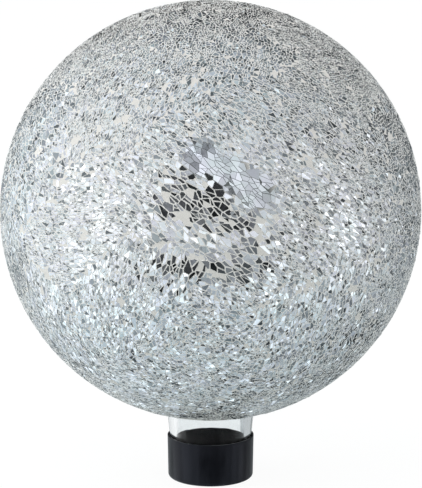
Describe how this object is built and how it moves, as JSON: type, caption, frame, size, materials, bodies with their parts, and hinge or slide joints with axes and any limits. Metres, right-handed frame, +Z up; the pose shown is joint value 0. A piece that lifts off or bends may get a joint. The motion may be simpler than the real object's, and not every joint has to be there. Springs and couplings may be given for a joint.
{
  "type": "garden gazing ball",
  "caption": "Hollow glass globe covered with sheets of crackled mirror glass set in grout, on a short clear neck closed by a pull-off cap that it stands on.",
  "frame": {"origin": "middle of the cap's flat underside, on which the ball stands", "axes": "+Z up through the neck and the globe; the picture is taken from the -Y side"},
  "size_m": [0.2542, 0.254, 0.2932],
  "materials": {
    "clear_glass": "clear blown glass, fire-polished at the lip",
    "cream_grout": "matt cream cement grout, wiped smooth",
    "mirror_shards": "crackled toughened glass, silvered on the back",
    "black_plastic": "black moulded polypropylene, satin"
  },
  "bodies": {
    "cap": {"neck_cap": "black_plastic"},
    "globe": {"glass_globe": "clear_glass", "grout_coat": "cream_grout", "mosaic_sheet_01": "mirror_shards", "mosaic_sheet_02": "mirror_shards", "mosaic_sheet_03": "mirror_shards", "mosaic_sheet_04": "mirror_shards", "mosaic_sheet_05": "mirror_shards", "mosaic_sheet_06": "mirror_shards", "mosaic_sheet_07": "mirror_shards", "mosaic_sheet_08": "mirror_shards", "mosaic_sheet_09": "mirror_shards", "mosaic_sheet_10": "mirror_shards", "mosaic_sheet_11": "mirror_shards", "mosaic_sheet_12": "mirror_shards", "mosaic_sheet_13": "mirror_shards", "mosaic_sheet_14": "mirror_shards", "mosaic_sheet_15": "mirror_shards", "mosaic_sheet_16": "mirror_shards", "mosaic_sheet_17": "mirror_shards", "mosaic_sheet_18": "mirror_shards", "mosaic_sheet_19": "mirror_shards", "mosaic_sheet_20": "mirror_shards", "mosaic_sheet_21": "mirror_shards", "mosaic_sheet_22": "mirror_shards", "mosaic_sheet_23": "mirror_shards", "mosaic_sheet_24": "mirror_shards", "mosaic_sheet_25": "mirror_shards", "mosaic_sheet_26": "mirror_shards", "mosaic_sheet_27": "mirror_shards", "mosaic_sheet_28": "mirror_shards", "mosaic_sheet_29": "mirror_shards", "mosaic_sheet_30": "mirror_shards", "mosaic_sheet_31": "mirror_shards", "mosaic_sheet_32": "mirror_shards", "mosaic_sheet_33": "mirror_shards", "mosaic_sheet_34": "mirror_shards", "mosaic_sheet_35": "mirror_shards", "mosaic_sheet_36": "mirror_shards", "mosaic_sheet_37": "mirror_shards", "mosaic_sheet_38": "mirror_shards", "mosaic_sheet_39": "mirror_shards", "mosaic_sheet_40": "mirror_shards", "mosaic_sheet_41": "mirror_shards", "mosaic_sheet_42": "mirror_shards", "mosaic_sheet_43": "mirror_shards", "mosaic_sheet_44": "mirror_shards"}
  },
  "joints": [
    {"name": "cap_pull", "type": "slide", "parent": "cap", "child": "globe", "axis": [0, 0, 1], "range_m": [0, 0.03]}
  ]
}
